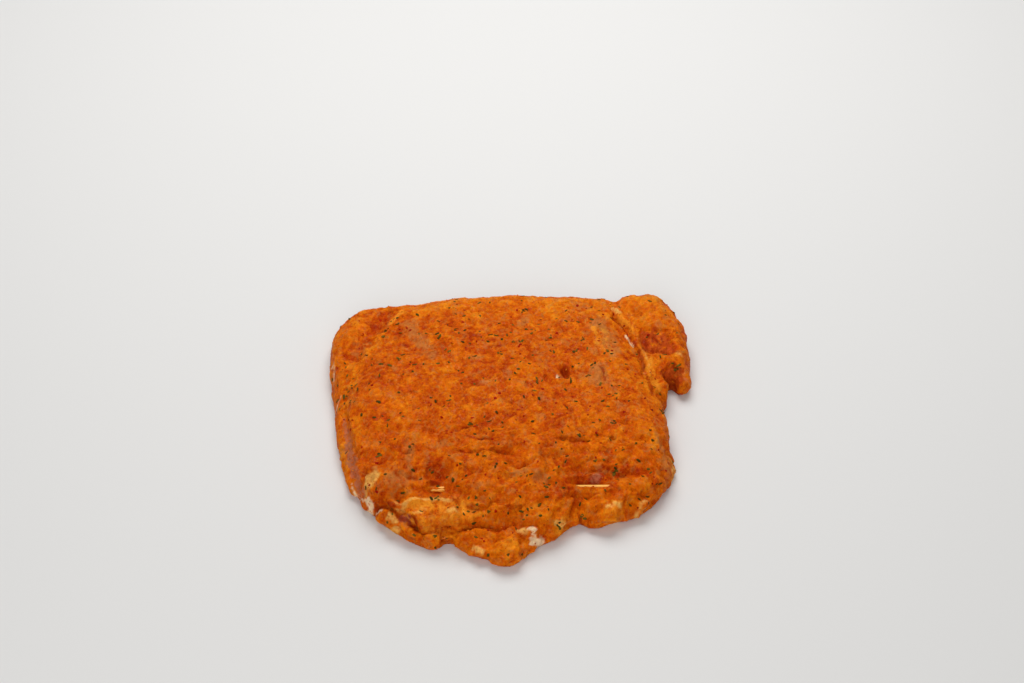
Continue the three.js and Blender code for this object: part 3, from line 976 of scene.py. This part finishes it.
class Ground:
    # the meat's upper faces, to scatter things on
    def __init__(self, mesh):
        mesh.calc_loop_triangles()
        corners = np.empty(len(mesh.loop_triangles) * 3, np.int32)
        mesh.loop_triangles.foreach_get("vertices", corners)
        self.triangles = corners.reshape(-1, 3)
        self.points = readPoints(mesh)
        self.normals = readNormals(mesh)
        a, b, c = (self.points[self.triangles[:, k]] for k in range(3))
        cross = np.cross(b - a, c - a)
        area = np.linalg.norm(cross, axis=1)
        facing = cross[:, 2] / np.maximum(area, 1e-9)
        weight = area * soft(facing, -0.1, 0.3)
        self.share = weight / weight.sum()

    def pick(self, count):
        # random points on the upper faces, with their normals
        chosen = rng.choice(len(self.triangles), count, p=self.share)
        weights = rng.dirichlet((1, 1, 1), count)
        corners = self.triangles[chosen]
        points = np.einsum("ij,ijk->ik", weights, self.points[corners])
        normals = np.einsum("ij,ijk->ik", weights, self.normals[corners])
        return points, normals / np.linalg.norm(normals, axis=1)[:, None]

    def at(self, places):
        # the upper points nearest to the places, with their normals
        upper = self.normals[:, 2] > 0.2
        points, normals = self.points[upper], self.normals[upper]
        nearest = [np.argmin((points[:, 0] - x) ** 2 + (points[:, 1] - y) ** 2) for x, y in places]
        return points[nearest], normals[nearest]

    def pickNear(self, middle, reach, count):
        # some random points within reach of a place, with their normals
        tries = 4000
        points, normals = self.pick(tries)
        near = np.linalg.norm(points[:, :2] - middle[:2], axis=1) < reach
        return points[near][:count], normals[near][:count]


def frameOn(normal, turn, tilt):
    # axes of a flake lying on a surface
    base = Vector(normal).to_track_quat("Z", "Y").to_matrix()
    return base @ Matrix.Rotation(turn, 3, "Z") @ Matrix.Rotation(tilt, 3, "X")


def flakeShape(long, wide, thick, bend):
    # an uneven leaf scrap, as top and bottom rings of points
    ring = []
    corners = 7
    for i in range(corners):
        angle = (i + rng.uniform(-0.25, 0.25)) / corners * math.tau
        reach = rng.uniform(0.75, 1.1)
        px, py = math.cos(angle) * long / 2 * reach, math.sin(angle) * wide / 2 * reach
        ring.append((px, py, bend * (px / long * 2) ** 2 * long * 0.25))
    top = [(0, 0, thick * 0.6)] + [(px, py, pz + thick / 2) for px, py, pz in ring]
    low = [(0, 0, -thick * 0.5)] + [(px, py, pz - thick / 2) for px, py, pz in ring]
    faces = []
    below = corners + 2
    for i in range(corners):
        j = (i + 1) % corners
        faces.append((0, 1 + i, 1 + j))
        faces.append((below - 1, below + j, below + i))
        faces.append((1 + i, below + i, below + j, 1 + j))
    return top + low, faces


def scatterFlakes(name, kind, places, ground, look):
    placed, placedNormals = ground.at(places)
    points, normals = ground.pick(kind["count"])
    for i in range(kind["clusters"]):
        middle = points[rng.integers(kind["count"])]
        more, moreNormals = ground.pickNear(middle, rng.uniform(1.0, 2.4), rng.integers(2, 6))
        points, normals = np.vstack([points, more]), np.vstack([normals, moreNormals])
    points, normals = np.vstack([placed, points]), np.vstack([placedNormals, normals])
    allPoints, allFaces, tones = [], [], []
    for i, (point, normal) in enumerate(zip(points, normals)):
        large = rng.beta(3, 2.4) if i < len(placed) else rng.beta(1.2, 3)
        long = kind["long"][0] + (kind["long"][1] - kind["long"][0]) * large
        wide = min(long, rng.uniform(*kind["wide"]) * (0.7 + 0.6 * large))
        shape, faces = flakeShape(long, wide, kind["thick"], rng.uniform(-0.35, 0.5))
        axes = frameOn(normal, rng.uniform(0, math.tau), rng.normal(0, 0.22))
        start = len(allPoints)
        centre = Vector(point + normal * kind["lift"])
        allPoints += [(axes @ Vector(p) + centre) * mm for p in shape]
        allFaces += [tuple(start + corner for corner in face) for face in faces]
        tones += [rng.uniform(0, 1)] * len(shape)
    mesh = bpy.data.meshes.new(name)
    mesh.from_pydata(allPoints, [], allFaces)
    mesh.update()
    paint(mesh, "tone", tones)
    return newPiece(name, mesh, look)


def scatterGrit(name, kind, ground, look):
    build = bmesh.new()
    bmesh.ops.create_icosphere(build, subdivisions=1, radius=1)
    shape = np.array([v.co for v in build.verts])
    faces = np.array([[v.index for v in f.verts] for f in build.faces])
    build.free()
    points, normals = ground.pick(kind["count"])
    allPoints, allFaces, tones = [], [], []
    for i, (point, normal) in enumerate(zip(points, normals)):
        size = rng.uniform(*kind["size"])
        stretch = rng.uniform(0.7, 1.3, 3) * size * rng.uniform(0.85, 1.15, (len(shape), 1))
        axes = np.array(frameOn(normal, rng.uniform(0, math.tau), 0))
        allPoints.append((shape * stretch) @ axes.T + point)
        allFaces.append(faces + i * len(shape))
        tones += [rng.uniform(0, 1)] * len(shape)
    mesh = bpy.data.meshes.new(name)
    mesh.from_pydata((np.vstack(allPoints) * mm).tolist(), [], np.vstack(allFaces).tolist())
    mesh.update()
    paint(mesh, "tone", tones)
    return newPiece(name, mesh, look)


def flakeLook(name, kind):
    look = Look(name)
    tone = look.painted("tone") * 0.75 + look.grain(look.place(), 0.5, 2) * 0.25
    colour = look.node("ShaderNodeValToRGB", {"stops": kind["colours"]}, {"Fac": tone})
    relief = look.bump(look.grain(look.place(), 0.2, 2), 0.05, 0.6)
    look.shader.inputs["Specular IOR Level"].default_value = 0.05
    return look.finish(BaseColor=colour, Roughness=kind["roughness"], Normal=relief)


# ---- making it

setCamera()
for name, panel in studio["panels"].items():
    addPanel(name, *panel)
scene.view_settings.view_transform = "Standard"
sky = bpy.data.worlds.new("studio")
sky.use_nodes = True
sky.node_tree.nodes["Background"].inputs["Color"].default_value = (1, 1, 1, 1)
sky.node_tree.nodes["Background"].inputs["Strength"].default_value = studio["skyStrength"]
scene.world = sky

floorLook = Look("paleFloor")
floorLook.shader.inputs["Specular IOR Level"].default_value = 0.1
floorMesh = bpy.data.meshes.new("floor")
far = studio["floorReach"]
floorMesh.from_pydata([(-far, -far, 0), (far, -far, 0), (far, far, 0), (-far, far, 0)], [], [(0, 1, 2, 3)])
floorMaterial = floorLook.finish(BaseColor=linear(studio["floorColour"]), Roughness=0.7)
floor = newPiece("floor", floorMesh, floorMaterial)
floor.location.z = -0.02 * mm  # just clear of the meat's flat base
print("camera, floor and light are set")

chicken = meatSkin()
flattenBase(chicken)
patches, smears = sculpt(chicken)
paintMeat(chicken, patches, smears)
dress(chicken.data, meatLook())
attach(chicken, "root")
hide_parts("chicken")
print("meat:", len(chicken.data.vertices), "points")

pin = newPiece("woodenStick", stickMesh(), stickLook())
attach(pin, "root")
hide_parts("stick")
print("stick is in")

ground = Ground(chicken.data)
leaves = scatterFlakes("driedHerbs", herbs, largeHerbs, ground, flakeLook("driedHerb", herbs))
flakes = scatterFlakes("chilliFlakes", chilli, largeChilli, ground, flakeLook("driedChilli", chilli))
grains = scatterGrit("spiceGrains", grit, ground, flakeLook("spiceGrain", grit))
for piece in (leaves, flakes, grains):
    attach(piece, "root")
print("herbs, chilli and spice grains are scattered")
